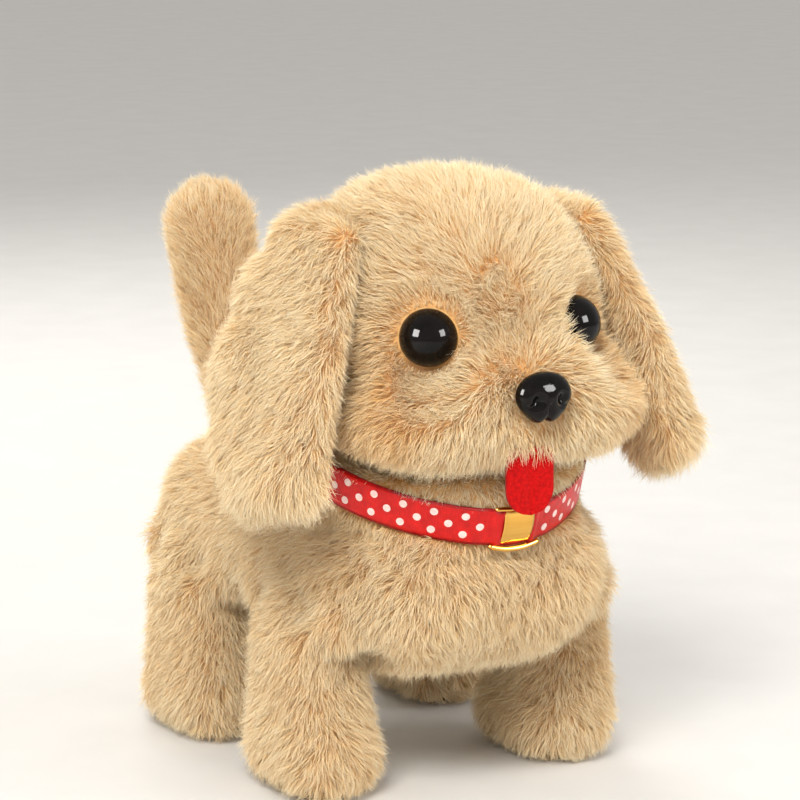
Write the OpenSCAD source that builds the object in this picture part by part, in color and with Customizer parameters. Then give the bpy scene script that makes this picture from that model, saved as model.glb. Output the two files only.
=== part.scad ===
// Interactive plush pet: a walking puppy with a geared leg drive, a nodding head and a wagging tail.
// The pet faces -Y, its left side is +X, and its soles stand on Z = 0. Sizes are in millimetres.

/* [Body] */
// Distance between the front and rear hip axes
wheelbase = 61; // [50:1:80]
// Distance from the middle plane to the middle of each leg
half_track = 37; // [30:0.5:45]
// Height of the hip axes
hip_z = 63; // [55:1:75]
// Half width of the body plush
body_half_width = 41.5; // [38:0.5:50]
// Radius of the hip lobes under the body plush
hip_lobe_r = 20; // [16:0.5:24]

/* [Head] */
// Radius of the head plush
head_r = 40; // [34:1:48]
// Height of the head's middle
head_z = 119; // [105:1:135]
// Radius of the muzzle plush
muzzle_r = 18.5; // [14:0.5:24]
// Height of the neck pin
nod_z = 83; // [78:1:90]
// Diameter of the eyes
eye_d = 14.5; // [10:0.5:18]

/* [Collar] */
// Width of the ribbon
ribbon_w = 10; // [6:0.5:15]
// Thickness of the ribbon
ribbon_t = 0.8; // [0.4:0.1:1.5]
// Forward tilt of the collar in degrees
collar_tilt = 18; // [0:1:24]

/* [Tail] */
// Height of the tail shaft
tail_z = 61; // [55:1:66]
// Radius of the tail plush at its top
tail_r = 12.5; // [8:0.5:16]

/* [Drive] */
// Module of the walking gears
walk_module = 0.6; // [0.4:0.1:1]
// Module of the first two gear pairs
fast_module = 0.5; // [0.3:0.1:0.8]
// Teeth of the crank gears and the centre gear
crank_teeth = 32; // [24:1:40]
// Teeth of the idler gears
idler_teeth = 20; // [16:1:28]
// Teeth of every pinion
pinion_teeth = 10; // [9:1:14]
// Teeth of the second gear's wheel
second_teeth = 30; // [24:1:36]
// Teeth of the first gear's wheel
first_teeth = 36; // [28:1:40]
// Radius of the crank pins' circle
crank_r = 2.5; // [1.5:0.1:3.5]
// Swing of each leg to either side in degrees
leg_swing = 10; // [5:1:12]

/* [Hidden] */
$fn = 64;
soft_fn = 28;

mid_y = -10.5;
hip_front_y = mid_y - wheelbase / 2;
hip_rear_y = mid_y + wheelbase / 2;
crank_z = hip_z - 15;
centre_z = crank_z + 5;

wall = 1.6;
case_x = 21;
case_front = -60;
case_rear = 42.5;
case_bottom = 34;
case_top = 76;
case_rear_top = 68;
case_slope_y = 32;
inner_x = case_x - wall;

shaft_r = 1.5;
pin_r = 1;
hip_pin_r = 2;
crank_pin_r = 1.25;
fit = 0.06;
snug = 0.02;
plush_gap = 0.5;

nod_y = -29;
head_y = -46;
skull_r = 28;
skull_wall = 1.8;
skull_floor_z = 94;
skull_space_r = 31.5;
muzzle_y = -75;
muzzle_z = 104.5;
muzzle_half = 16.5;
nose_y = -94.9;
nose_z = 106.5;
ear_r = 4.5;
eye_x = 21.8;
eye_drop = 31;
eye_seat_r = 35.6;
eye_az = atan2(eye_x, eye_drop);

neck_y = -50;
neck_a = 36;
neck_b = 34;
neck_power = 1.7;
collar_z = 83.2;
collar_back_tilt = 4;
collar_lap = 1.3;

leg_in = half_track - 12;
plate_in = 26.5;
plate_out = 29.5;
window_r = crank_r + crank_pin_r + 15 * sin(leg_swing) + 0.35;

gear_x = 17.4;
gear_w = 1.6;
pressure = 25;
backlash = 0.09;

// ---- helpers ----

// Extrudes a profile drawn in (Y, Z) along X from x0
module along_x(x0, y, z, length) translate([x0, y, z]) rotate([90, 0, 90]) linear_extrude(length) children();

module rod_x(x0, x1, y, z, r) translate([x0, y, z]) rotate([0, 90, 0]) cylinder(r = r, h = x1 - x0);

module rod_y(y0, y1, x, z, r) translate([x, y0, z]) rotate([-90, 0, 0]) cylinder(r = r, h = y1 - y0);

module rod_z(z0, z1, x, y, r) translate([x, y, z0]) cylinder(r = r, h = z1 - z0);

module block(x0, x1, y0, y1, z0, z1) translate([x0, y0, z0]) cube([x1 - x0, y1 - y0, z1 - z0]);

module ball(x, y, z, r, n = soft_fn) translate([x, y, z]) sphere(r = r, $fn = n);

// Puts a child made for the pet's left side on either side
module on_side(left) mirror([left ? 0 : 1, 0, 0]) children();

// Superellipse with half axes a and b
function super_ring(a, b, n, steps = 72) = [
  for (i = [0 : steps - 1])
    let (t = 360 * i / steps, c = cos(t), s = sin(t))
      [a * sign(c) * pow(abs(c), 2 / n), b * sign(s) * pow(abs(s), 2 / n)]
];

// ---- gears ----

function involute_deg(r, base) = r <= base ? 0 : let (t = sqrt(pow(r / base, 2) - 1)) t * 180 / PI - atan(t);

// Half the angle that a tooth takes at radius r
function half_tooth(r, pitch, base, teeth) =
  90 / teeth - backlash / (2 * pitch) * 180 / PI + involute_deg(pitch, base) - involute_deg(r, base);

function gear_points(teeth, module_mm, phase) =
  let (
    pitch = teeth * module_mm / 2,
    base = pitch * cos(pressure),
    tip = pitch + 0.8 * module_mm,
    root = pitch - 1.05 * module_mm,
    low = max(base, root + 0.02),
    radii = [root, low, low + (tip - low) / 3, low + 2 * (tip - low) / 3, tip]
  )
  [
    for (i = [0 : teeth - 1])
      for (k = [0 : 9])
        let (
          r = radii[k < 5 ? k : 9 - k],
          side = k < 5 ? -1 : 1,
          a = phase + 360 * i / teeth + side * half_tooth(r, pitch, base, teeth)
        )
          [r * cos(a), r * sin(a)]
  ];

module gear_slice(at, x0, width, teeth, module_mm, phase) {
  along_x(x0, at[0], at[1], width) polygon(gear_points(teeth, module_mm, phase));
}

// Phase of gear 2 that meshes with gear 1 in direction a
function meshed(a, phase1, teeth1, teeth2) = a + 180 - 360 / teeth2 * (0.5 - (a - phase1) * teeth1 / 360);

function direction(p, q) = atan2(q[1] - p[1], q[0] - p[0]);

function step_from(p, distance, angle) = [p[0] + distance * cos(angle), p[1] + distance * sin(angle)];

// The point at the same distance from p and q, above the line between them
function apex(p, q, distance) =
  let (half = norm(q - p) / 2, a = direction(p, q), up = q[0] > p[0] ? 90 : -90)
    step_from((p + q) / 2, sqrt(distance * distance - half * half), a + up);

centre_at = [mid_y, centre_z];
front_at = [hip_front_y, crank_z];
rear_at = [hip_rear_y, crank_z];
idler_distance = (crank_teeth + idler_teeth) / 2 * walk_module;
idler_front_at = apex(front_at, centre_at, idler_distance);
idler_rear_at = apex(centre_at, rear_at, idler_distance);
second_at = step_from(centre_at, (crank_teeth + pinion_teeth) / 2 * walk_module, 120);
first_at = step_from(second_at, (second_teeth + pinion_teeth) / 2 * fast_module, 3);
motor_at = step_from(first_at, (first_teeth + pinion_teeth) / 2 * fast_module, -8);

idler_front_phase = meshed(direction(centre_at, idler_front_at), 0, crank_teeth, idler_teeth);
idler_rear_phase = meshed(direction(centre_at, idler_rear_at), 0, crank_teeth, idler_teeth);
front_phase = meshed(direction(idler_front_at, front_at), idler_front_phase, idler_teeth, crank_teeth);
rear_phase = meshed(direction(idler_rear_at, rear_at), idler_rear_phase, idler_teeth, crank_teeth);
second_phase = meshed(direction(centre_at, second_at), 0, crank_teeth, pinion_teeth);
first_phase = meshed(direction(second_at, first_at), 0, second_teeth, pinion_teeth);
motor_phase = meshed(direction(first_at, motor_at), 0, first_teeth, pinion_teeth);

module centre_gear() color("white") difference() {
  gear_slice(centre_at, gear_x, gear_w, crank_teeth, walk_module, 0);
  rod_x(gear_x - 1, gear_x + gear_w + 1, centre_at[0], centre_at[1], pin_r + fit);
}

module idler(at, phase) color("white") difference() {
  gear_slice(at, gear_x, gear_w, idler_teeth, walk_module, phase);
  rod_x(gear_x - 1, gear_x + gear_w + 1, at[0], at[1], pin_r + fit);
}

module idler_gear_front() idler(idler_front_at, idler_front_phase);

module idler_gear_rear() idler(idler_rear_at, idler_rear_phase);

module second_gear() color("white") difference() {
  union() {
    gear_slice(second_at, 15.3, 1.5, second_teeth, fast_module, 0);
    gear_slice(second_at, 16.8, 2.3, pinion_teeth, walk_module, second_phase);
  }
  rod_x(15, 20, second_at[0], second_at[1], pin_r + fit);
}

module first_gear() color("white") difference() {
  union() {
    gear_slice(first_at, 13.3, 1.5, first_teeth, fast_module, 0);
    gear_slice(first_at, 14.8, 2.2, pinion_teeth, fast_module, first_phase);
  }
  rod_x(13, 18, first_at[0], first_at[1], pin_r + fit);
}

module motor_pinion() color("goldenrod") difference() {
  gear_slice(motor_at, 13.2, 1.8, pinion_teeth, fast_module, motor_phase);
  rod_x(13, 16, motor_at[0], motor_at[1], pin_r + snug);
}

module motor_shaft() color("silver") rod_x(-12, 15, motor_at[0], motor_at[1], pin_r);

module gear_pins() color("silver") {
  for (p = [centre_at, idler_front_at, idler_rear_at, first_at]) rod_x(10.8, 20.2, p[0], p[1], pin_r);
  // The second gear's pin is held at the case wall only, clear of the first gear's wheel
  rod_x(15.05, 20.2, second_at[0], second_at[1], pin_r);
}

// ---- crank shafts ----

module crank_shaft(at) color("silver") rod_x(-23.7, 23.7, at[0], at[1], shaft_r);

module front_shaft() crank_shaft(front_at);

module rear_shaft() crank_shaft(rear_at);

module crank_gear(at, phase) color("white") difference() {
  gear_slice(at, gear_x, gear_w, crank_teeth, walk_module, phase);
  rod_x(gear_x - 1, gear_x + gear_w + 1, at[0], at[1], shaft_r + snug);
}

module front_crank_gear() crank_gear(front_at, front_phase);

module rear_crank_gear() crank_gear(rear_at, rear_phase);

// Crank disc with its pin above or below the shaft
module crank_disc(at, up) {
  difference() {
    rod_x(21.7, 23.7, at[0], at[1], 4.6);
    rod_x(21, 24, at[0], at[1], shaft_r + snug);
  }
  rod_x(23.7, 30.6, at[0], at[1] + up * (crank_r + 0.4), crank_pin_r);
}

module crank_pair(at, up) color("dimgray") {
  crank_disc(at, up);
  mirror([1, 0, 0]) crank_disc(at, -up);
}

module front_cranks() crank_pair(front_at, 1);

module rear_cranks() crank_pair(rear_at, -1);

module nod_cam() color("dimgray") difference() {
  rod_x(-2.6, 2.6, front_at[0] - 1.15, front_at[1], 3.2);
  rod_x(-4, 4, front_at[0], front_at[1], shaft_r + snug);
}

module wag_cam() color("dimgray") difference() {
  union() {
    rod_x(-2.8, 2.8, rear_at[0], rear_at[1], 2.6);
    translate([0, rear_at[0], rear_at[1]]) rotate([0, 90, 22]) cylinder(r = 4.8, h = 2, center = true);
  }
  rod_x(-6, 6, rear_at[0], rear_at[1], shaft_r + snug);
}

// ---- chassis ----

screw_spots = [[-52.5, 38.6], [-54.5, 70.5], [36.5, 66], [29.5, 38.8]];
bay_half_y = 27.9;
door_x = 16.2;
door_screw_y = 24;
switch_y = 35.5;
speaker_z = 55;

// The case's side outline, its rear top edge sloped, grown by g
module case_block(x0, x1, g) along_x(x0, 0, 0, x1 - x0) polygon([
  [case_front - g, case_bottom - g], [case_rear + g, case_bottom - g], [case_rear + g, case_rear_top + g * 0.6],
  [case_slope_y + g * 0.6, case_top + g], [case_front - g, case_top + g]
]);

module case_half() difference() {
  union() {
    difference() {
      case_block(0, case_x, 0);
      case_block(-1, inner_x, -wall);
    }
    for (p = screw_spots) rod_x(0, inner_x + 0.5, p[0], p[1], 2.4);
    // Ribs around the battery bay
    block(15.2, 16.6, mid_y - bay_half_y, mid_y + bay_half_y, case_bottom + 1, 45);
    block(0, 16.6, mid_y - bay_half_y - 0.9, mid_y - bay_half_y, case_bottom + 1, 42.5);
    block(0, 16.6, mid_y + bay_half_y, mid_y + bay_half_y + 0.9, case_bottom + 1, 42.5);
    // Half of the door screw's boss, and the web that joins it to the bay's rib
    intersection() {
      rod_z(case_bottom + 1, 40, 0, door_screw_y, 2.8);
      block(0, 5, door_screw_y - 5, door_screw_y + 5, case_bottom, 41);
    }
    block(0, 2.2, mid_y + bay_half_y, door_screw_y - 1.6, case_bottom + 1, 40);
    for (y = [hip_front_y, hip_rear_y]) {
      rod_x(case_x - 0.5, 26.2, y, hip_z, 3.2);
      rod_x(26, 31.6, y, hip_z, hip_pin_r);
    }
  }
  for (y = [hip_front_y, hip_rear_y]) rod_x(inner_x - 1, case_x + 1, y, crank_z, shaft_r + fit);
  block(-1, door_x, mid_y - bay_half_y - 0.2, mid_y + bay_half_y + 0.2, case_bottom - 1, case_bottom + wall);
  block(-1, 4.4, mid_y + bay_half_y, door_screw_y + 3.2, case_bottom - 1, case_bottom + wall);
  rod_z(case_bottom, 39.6, 0, door_screw_y, 1.25);
  block(-1, 4.4, switch_y - 2.4, switch_y + 2.4, case_bottom - 1, case_bottom + wall + 1);
  block(-1, 7, -50, -20, case_top - wall - 1, case_top + 1);
  rod_y(case_rear - wall - 1, case_rear + 1, 0, tail_z, shaft_r + fit);
  for (a = [0 : 60 : 300]) rod_y(case_front - 1, case_front + 2.4, 7 * cos(a), speaker_z + 7 * sin(a), 1.2);
}

module chassis_left() color("gainsboro") difference() {
  case_half();
  for (p = screw_spots) rod_x(-1, 10, p[0], p[1], pin_r + snug);
  for (p = [centre_at, idler_front_at, idler_rear_at, second_at, first_at])
    rod_x(inner_x - 1, 20.4, p[0], p[1], pin_r + snug);
}

module chassis_right() color("gainsboro") mirror([1, 0, 0]) difference() {
  case_half();
  for (p = screw_spots) {
    rod_x(-1, case_x + 1, p[0], p[1], pin_r + snug);
    rod_x(19.2, case_x + 1, p[0], p[1], 2.05);
  }
}

module chassis_screws() color("silver") for (p = screw_spots) {
  rod_x(-19.3, 8, p[0], p[1], pin_r);
  rod_x(-20.6, -19.22, p[0], p[1], 1.9);
}

module gear_plate() color("gainsboro") difference() {
  block(10.6, 12.2, -32, 18, 50.6, 74.2);
  for (p = [centre_at, idler_front_at, idler_rear_at, first_at]) rod_x(10, 13, p[0], p[1], pin_r + snug);
  rod_x(10, 13, motor_at[0], motor_at[1], 3.1);
}

module hip_clips() color("silver") for (side = [-1, 1], y = [hip_front_y, hip_rear_y]) difference() {
  rod_x(side * 30.4 - 0.5, side * 30.4 + 0.5, y, hip_z, 3.5);
  rod_x(side * 30.4 - 2, side * 30.4 + 2, y, hip_z, hip_pin_r + snug);
}

module motor_can() color("silver") difference() {
  union() {
    intersection() {
      rod_x(-14, 10.4, motor_at[0], motor_at[1], 10);
      block(-15, 11, motor_at[0] - 11, motor_at[0] + 11, motor_at[1] - 7.5, motor_at[1] + 7.5);
    }
    rod_x(10.3, 12, motor_at[0], motor_at[1], 3);
  }
  rod_x(-13, 13, motor_at[0], motor_at[1], pin_r + fit);
}

module circuit_board() color("green") {
  block(-15, 15, 38.4, 40, 42.4, 58);
  block(-12, -8, 36.6, 38.45, 50, 55);
  block(6, 12, 36.9, 38.45, 44, 46.5);
  rod_y(34.4, 38.45, 10.5, 52, 2.4);
}

module voice_chip() color("black") intersection() {
  translate([-1, 41.5, 49]) sphere(r = 5.5);
  block(-7, 5, 35, 38.36, 43, 55);
}

module speaker() color("dimgray") {
  rod_y(-58.2, -57, 0, speaker_z, 12.5);
  rod_y(-57.1, -55.5, 0, speaker_z, 9.5);
  rod_y(-55.6, -52.6, 0, speaker_z, 6.5);
}

// One cell, its button towards +Y
module cell() {
  rod_y(-34.6, 14.4, 7.4, 42.9, 7.1);
  rod_y(14.3, 15.9, 7.4, 42.9, 2.7);
}

module turned() translate([0, 2 * mid_y, 0]) rotate([0, 0, 180]) children();

module batteries() color("orange") {
  cell();
  turned() cell();
}

module spring_contact() {
  block(3, 12, -38.2, -37.7, 38.5, 47.5);
  for (i = [0 : 2]) translate([7.4, -37.3 + i, 42.9]) rotate([-90, 0, 0]) rotate_extrude() {
    translate([4.2 - 0.7 * i, 0]) circle(r = 0.3, $fn = 16);
  }
  rod_y(-37.8, -35, 7.4 + 3.5, 42.9, 0.9);
}

module spring_contacts() color("silver") {
  spring_contact();
  turned() spring_contact();
}

module plate_contacts() color("silver") {
  block(3, 12, 16.1, 16.6, 38.5, 47.5);
  turned() block(3, 12, 16.1, 16.6, 38.5, 47.5);
}

module battery_door() color("gainsboro") difference() {
  union() {
    block(-15.9, 15.9, mid_y - 27.7, mid_y + 27.7, case_bottom, case_bottom + 0.9);
    block(-4.1, 4.1, mid_y + 27.5, door_screw_y + 2.9, case_bottom, case_bottom + 0.9);
    // Grip ribs
    for (i = [0 : 3]) block(-8, 8, -32 + 2.4 * i, -31 + 2.4 * i, case_bottom - 0.7, case_bottom + 0.1);
  }
  rod_z(case_bottom - 1, case_bottom + 2, 0, door_screw_y, 1.22);
}

module door_screw() color("silver") difference() {
  union() {
    rod_z(case_bottom - 1.15, case_bottom - 0.05, 0, door_screw_y, 2.3);
    rod_z(case_bottom - 0.2, 39.2, 0, door_screw_y, 1.2);
  }
  block(-1.6, 1.6, door_screw_y - 0.3, door_screw_y + 0.3, case_bottom - 2, case_bottom - 0.6);
  block(-0.3, 0.3, door_screw_y - 1.6, door_screw_y + 1.6, case_bottom - 2, case_bottom - 0.6);
}

module switch_body() color("black") difference() {
  block(-6.5, 6.5, switch_y - 3.5, switch_y + 3.5, 37, 41.8);
  block(-4.2, 4.2, switch_y - 1.7, switch_y + 1.7, 36, 40);
}

module switch_knob() color("black") {
  block(-3.1, 0.1, switch_y - 1.3, switch_y + 1.3, 33.9, 39.4);
  block(-3.9, 0.9, switch_y - 1.9, switch_y + 1.9, 32.4, 34.9);
}

module neck_bracket() color("gainsboro") difference() {
  union() {
    block(-12, 12, -38, -19, case_top + 0.1, case_top + 1.7);
    for (side = [-1, 1]) {
      rod_x(side * 10.2 - 1.2, side * 10.2 + 1.2, nod_y, nod_z, 5.2);
      block(side * 10.2 - 1.2, side * 10.2 + 1.2, nod_y - 5.2, nod_y + 5.2, case_top + 1, nod_z);
      block(side * 7.9 - 1.1, side * 7.9 + 1.1, -37, -31, case_top, case_top + 1.5);
      block(side * 6.2 - 0.6, side * 6.2 + 0.6, -37, -31, case_top - 3, case_top + 1.5);
    }
  }
  block(-5.5, 5.5, -39, -20.5, case_top - 4, case_top + 3);
  rod_x(-13, 13, nod_y, nod_z, shaft_r + snug);
}

module neck_pin() color("silver") rod_x(-12.2, 12.2, nod_y, nod_z, shaft_r);

// ---- legs ----

module leg_frame(y) color("gainsboro") difference() {
  union() {
    rod_x(plate_in, plate_out, y, hip_z, 6);
    rod_x(plate_in, plate_out, y, crank_z, 10);
    block(plate_in, plate_out, y - 6, y + 6, crank_z, hip_z);
    block(plate_in, plate_out, y - 8, y + 8, 30, crank_z);
    block(plate_in, 38.5, y - 8, y + 8, 30, 34);
    block(32, 38.5, y - 6, y + 6, 4, 31);
    block(28, 42, y - 12, y + 12, 2.2, 4.6);
  }
  rod_x(plate_in - 1, plate_out + 1, y, hip_z, hip_pin_r + fit);
  rod_x(plate_in - 1, plate_out + 1, y, crank_z, window_r + 0.4);
}

module leg_frame_fl() leg_frame(hip_front_y);

module leg_frame_fr() mirror([1, 0, 0]) leg_frame(hip_front_y);

module leg_frame_rl() leg_frame(hip_rear_y);

module leg_frame_rr() mirror([1, 0, 0]) leg_frame(hip_rear_y);

// Plush sleeve: a column that widens into a paw, hollow for the frame and the sole
module leg_plush(y) color("wheat") difference() {
  union() {
    hull() for (sy = [-1, 1]) {
      translate([leg_in + 9, y + sy * 6.5, 40]) cylinder(r = 9, h = 9.5, $fn = soft_fn);
      translate([leg_in + 13.5, y + sy * 6.5, 40]) cylinder(r = 9, h = 9.5, $fn = soft_fn);
      ball(leg_in + 9.5, y + sy * 8.5 - 1, 9.8, 9.5);
      ball(leg_in + 11.5, y + sy * 8.5 - 1, 9.8, 9.5);
    }
    hull() for (sy = [-1, 1]) {
      ball(leg_in + 7, y + sy * 8.5 + 0.5, 10, 9.5);
      ball(leg_in + 11.5, y + sy * 8.5 + 0.5, 10, 9.8);
    }
  }
  block(leg_in - 9, leg_in + 40, y - 30, y + 30, -5, 0.8);
  rod_x(leg_in - 5, leg_in + 40, y, hip_z, hip_lobe_r + 0.6);
  block(plate_in - 0.4, 38.9, y - 8.4, y + 8.4, 4, 55);
  rod_x(plate_in - 0.4, plate_out + 0.4, y, crank_z, 10.4);
  block(27.6, 42.4, y - 12.4, y + 12.4, -1, 5);
}

module leg_plush_fl() leg_plush(hip_front_y);

module leg_plush_fr() mirror([1, 0, 0]) leg_plush(hip_front_y);

module leg_plush_rl() leg_plush(hip_rear_y);

module leg_plush_rr() mirror([1, 0, 0]) leg_plush(hip_rear_y);

module sole(y) color("tan") block(28, 42, y - 12, y + 12, 0, 2.15);

module sole_fl() sole(hip_front_y);

module sole_fr() mirror([1, 0, 0]) sole(hip_front_y);

module sole_rl() sole(hip_rear_y);

module sole_rr() mirror([1, 0, 0]) sole(hip_rear_y);

// ---- body plush and collar ----

module in_collar_plane(tilt) translate([0, neck_y, collar_z]) rotate([tilt, 0, 0]) children();

// The neck's outline, whose front half dips more than its back half
module neck_prism(grow, z0, z1) for (half = [[collar_tilt, -60], [collar_back_tilt, -collar_lap]])
  in_collar_plane(half[0]) translate([0, 0, z0]) linear_extrude(z1 - z0) intersection() {
    polygon(super_ring(neck_a + grow, neck_b + grow, neck_power));
    translate([-60, half[1]]) square([120, 60 + collar_lap]);
  }

module trunk_solid() {
  difference() {
    hull() {
      for (sx = [-1, 1]) {
        ball(sx * (body_half_width - 19.5), -52, 55, 19.5);
        ball(sx * (body_half_width - 20.5), 28, 58, 20.5);
        ball(sx * 14, -61, 55, 21);
        ball(sx * 14, -55, 53, 22);
        ball(sx * 14, -16, 61, 19);
        ball(sx * 14, 35, 53, 22.5);
      }
    }
    // Room for the four swinging legs outside the hip lobes
    for (sx = [-1, 1], y = [hip_front_y, hip_rear_y]) difference() {
      union() {
        translate([sx * 42.5, 0, 0]) block(-18, 18, y - 21, y + 21, 0, hip_z - 9.5);
        translate([sx * 42.5, 0, 0]) block(-18, 18, y - 24.5, y + 24.5, 0, hip_z - 21);
      }
      rod_x(-70, 70, y, hip_z, hip_lobe_r);
    }
  }
  intersection() {
    neck_prism(0, -25, 30);
    translate([0, -84, 81]) rotate([9, 0, 0]) block(-60, 60, -20, 90, -60, 0);
  }
}

module trunk_plush() color("wheat") difference() {
  trunk_solid();
  case_block(-case_x - plush_gap, case_x + plush_gap, plush_gap);
  block(-18.5, 18.5, mid_y - 31.5, 41, 20, 40);
  block(-13, 13, -51, -18, 70, 110);
  rod_y(40, 62, 0, tail_z, 2.5);
  for (sx = [-1, 1], y = [hip_front_y, hip_rear_y]) {
    translate([sx * 27, 0, 0]) block(-5.6, 6, y - 14, y + 14, 42.6, 71);
    translate([sx * 29, 0, 0]) block(-4.5, 4, y - 14, y + 14, 0, 71);
  }
  difference() {
    neck_prism(2.2, -ribbon_w / 2 - 0.6, ribbon_w / 2 + 0.6);
    neck_prism(-0.4, -ribbon_w, ribbon_w);
  }
}

module collar_ribbon() color("red") difference() {
  neck_prism(0.3 + ribbon_t, -ribbon_w / 2, ribbon_w / 2);
  neck_prism(0.3, -ribbon_w, ribbon_w);
}

module collar_buckle() color("gold") in_collar_plane(collar_tilt) translate([0, -neck_b - 1.3, 0]) {
  difference() {
    translate([0, 0, -0.6]) rotate([90, 0, 0]) linear_extrude(0.9) {
      translate([-7.2, -3]) square([14.4, 9]);
      translate([0, 2]) circle(r = 8.5, $fn = 96);
    }
    translate([0, -3, 8.4]) cube([30, 10, 6], center = true);
  }
  rod_x(-7.2, 7.2, -0.7, 5.2, 0.6);
}

// ---- head ----

module head_cut() translate([0, -84, 85.5]) rotate([7.1, 0, 0]) block(-70, 70, -40, 100, -60, 0);

module eye_place(sx, r) translate([0, head_y, head_z + 1])
  rotate([90, 0, 0]) rotate([0, sx * eye_az, 0]) translate([0, 0, r]) children();

module head_plush() color("wheat") difference() {
  union() {
    translate([0, head_y, head_z]) sphere(r = head_r);
    rod_x(-muzzle_half, muzzle_half, muzzle_y, muzzle_z, muzzle_r);
    for (sx = [-1, 1]) translate([sx * muzzle_half, muzzle_y, muzzle_z]) sphere(r = muzzle_r);
  }
  head_cut();
  translate([0, head_y, head_z]) sphere(r = skull_space_r);
  block(-13, 13, -56, -18, 80, 100);
  for (sx = [-1, 1]) eye_place(sx, 0) {
    translate([0, 0, eye_seat_r]) sphere(r = eye_d / 2 + 0.3);
    cylinder(r = 2.3, h = eye_seat_r);
  }
  rod_y(-99, -82, 0, nose_z, 2.3);
  rod_y(-86.3, -84.3, 0, nose_z, 7);
  block(-8.6, 8.6, -100, -91.2, nose_z - 7, nose_z + 6.4);
  block(-6.9, 6.9, -89.9, -87.8, 80, 93.9);
}

module ear(sx) color("wheat") difference() {
  hull() {
    ball(sx * 38, -40, 142, ear_r);
    ball(sx * 35, -59, 142, ear_r);
    ball(sx * 49.5, -37, 115, ear_r);
    ball(sx * 46, -69, 114, ear_r);
    ball(sx * 57, -41, 92, ear_r);
    ball(sx * 58, -69, 88, ear_r);
    ball(sx * 52.5, -72, 86, ear_r);
    ball(sx * 57, -56, 81.5, ear_r);
  }
  translate([0, head_y, head_z]) sphere(r = head_r - 0.6);
}

module ear_left() ear(1);

module ear_right() ear(-1);

module eyes() color("black") for (sx = [-1, 1]) eye_place(sx, 0) {
  intersection() {
    translate([0, 0, eye_seat_r]) sphere(r = eye_d / 2);
    cylinder(r = 20, h = 60);
    translate([0, 0, eye_seat_r - 1.5]) cylinder(r = 20, h = 20);
  }
  translate([0, 0, 29.3]) cylinder(r = 2, h = 6);
}

module nose() color("black") {
  hull() {
    for (sx = [-1, 1]) {
      ball(sx * 4.1, nose_y, nose_z + 2, 3.6);
      ball(sx * 2, nose_y, nose_z - 2.8, 3.4);
    }
  }
  rod_y(-93, -83.4, 0, nose_z, 2);
}

module tongue() color("red") translate([0, -88.1, 0]) rotate([90, 0, 0]) linear_extrude(1.5) {
  translate([-6.5, 83]) square([13, 10.5]);
  translate([0, 83]) circle(r = 6.5);
}

module washers() color("white") {
  for (sx = [-1, 1]) eye_place(sx, 29.2) difference() {
    cylinder(r = 6.3, h = 1);
    translate([0, 0, -1]) cylinder(r = 2 + snug, h = 4);
  }
  difference() {
    rod_y(-85.8, -84.8, 0, nose_z, 6.5);
    rod_y(-87, -84, 0, nose_z, 2 + snug);
  }
}

module head_shell() color("gainsboro") translate([0, head_y, 0]) difference() {
  translate([0, 0, head_z]) sphere(r = skull_r);
  difference() {
    translate([0, 0, head_z]) sphere(r = skull_r - skull_wall);
    block(-40, 40, -40, 40, 60, skull_floor_z + wall);
  }
  block(-40, 40, -40, 40, 60, skull_floor_z);
}

module nod_lever() color("gainsboro") difference() {
  union() {
    rod_x(-8.4, 8.4, nod_y, nod_z, 4.5);
    along_x(-2.5, 0, 0, 5)
      polygon([[-32, 86], [-25.5, 81], [-37, 53.5], [-46, 53.5], [-46, 55.5], [-41, 56.2]]);
    block(-6, 6, -40, -25.5, 84, 93);
    block(-8, 8, -50, -27, 91.8, skull_floor_z - 0.1);
  }
  rod_x(-10, 10, nod_y, nod_z, shaft_r + fit);
}

// ---- tail ----

tail_lean = [[0, 64.5, 73, 8], [0, 77.5, 102, 11.5], [0, 86, 127, tail_r]];
tail_angle = 20.9;

module tail_rod(r, length) translate([0, 60, tail_z]) rotate([-tail_angle, 0, 0]) cylinder(r = r, h = length);

module tail_assembly_core() color("gainsboro") {
  rod_y(22.6, 60, 0, tail_z, shaft_r);
  rod_y(57, 62.6, 0, tail_z, 3.5);
  tail_rod(2.6, 68);
  // Fork around the wag cam
  rod_y(22.6, 26, 0, tail_z, 4);
  block(-9, 9, 22.8, 25.8, 58.5, tail_z + 1);
  for (sx = [-1, 1]) translate([sx * 8, 0, 0]) block(-1, 1, 22.8, 25.8, 44, 60);
}

module tail_plush() color("wheat") difference() {
  hull() for (b = tail_lean) ball(b[0], b[1], b[2], b[3]);
  tail_rod(2.9, 68.4);
}

// ---- nodes ----

trunk_plush();
chassis_left();
chassis_right();
chassis_screws();
gear_plate();
gear_pins();
hip_clips();
neck_bracket();
neck_pin();
motor_can();
circuit_board();
voice_chip();
speaker();
batteries();
spring_contacts();
plate_contacts();
switch_body();
collar_ribbon();
collar_buckle();
battery_door();
door_screw();
switch_knob();
motor_shaft();
motor_pinion();
first_gear();
second_gear();
centre_gear();
idler_gear_front();
idler_gear_rear();
front_shaft();
front_crank_gear();
front_cranks();
nod_cam();
rear_shaft();
rear_crank_gear();
rear_cranks();
wag_cam();
leg_frame_fl();
leg_frame_fr();
leg_frame_rl();
leg_frame_rr();
leg_plush_fl();
leg_plush_fr();
leg_plush_rl();
leg_plush_rr();
sole_fl();
sole_fr();
sole_rl();
sole_rr();
head_plush();
ear_left();
ear_right();
eyes();
nose();
tongue();
washers();
head_shell();
nod_lever();
tail_assembly_core();
tail_plush();
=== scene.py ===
"""Looks for a walking plush puppy: pile, face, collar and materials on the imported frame.

Lengths are in millimetres until a mesh is made, where MM turns them into metres.
The puppy faces -Y, its left side is +X and Z is up.
"""

import math

import bmesh
import bpy
import numpy as np
from mathutils import Matrix, Vector
from mathutils.kdtree import KDTree


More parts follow.
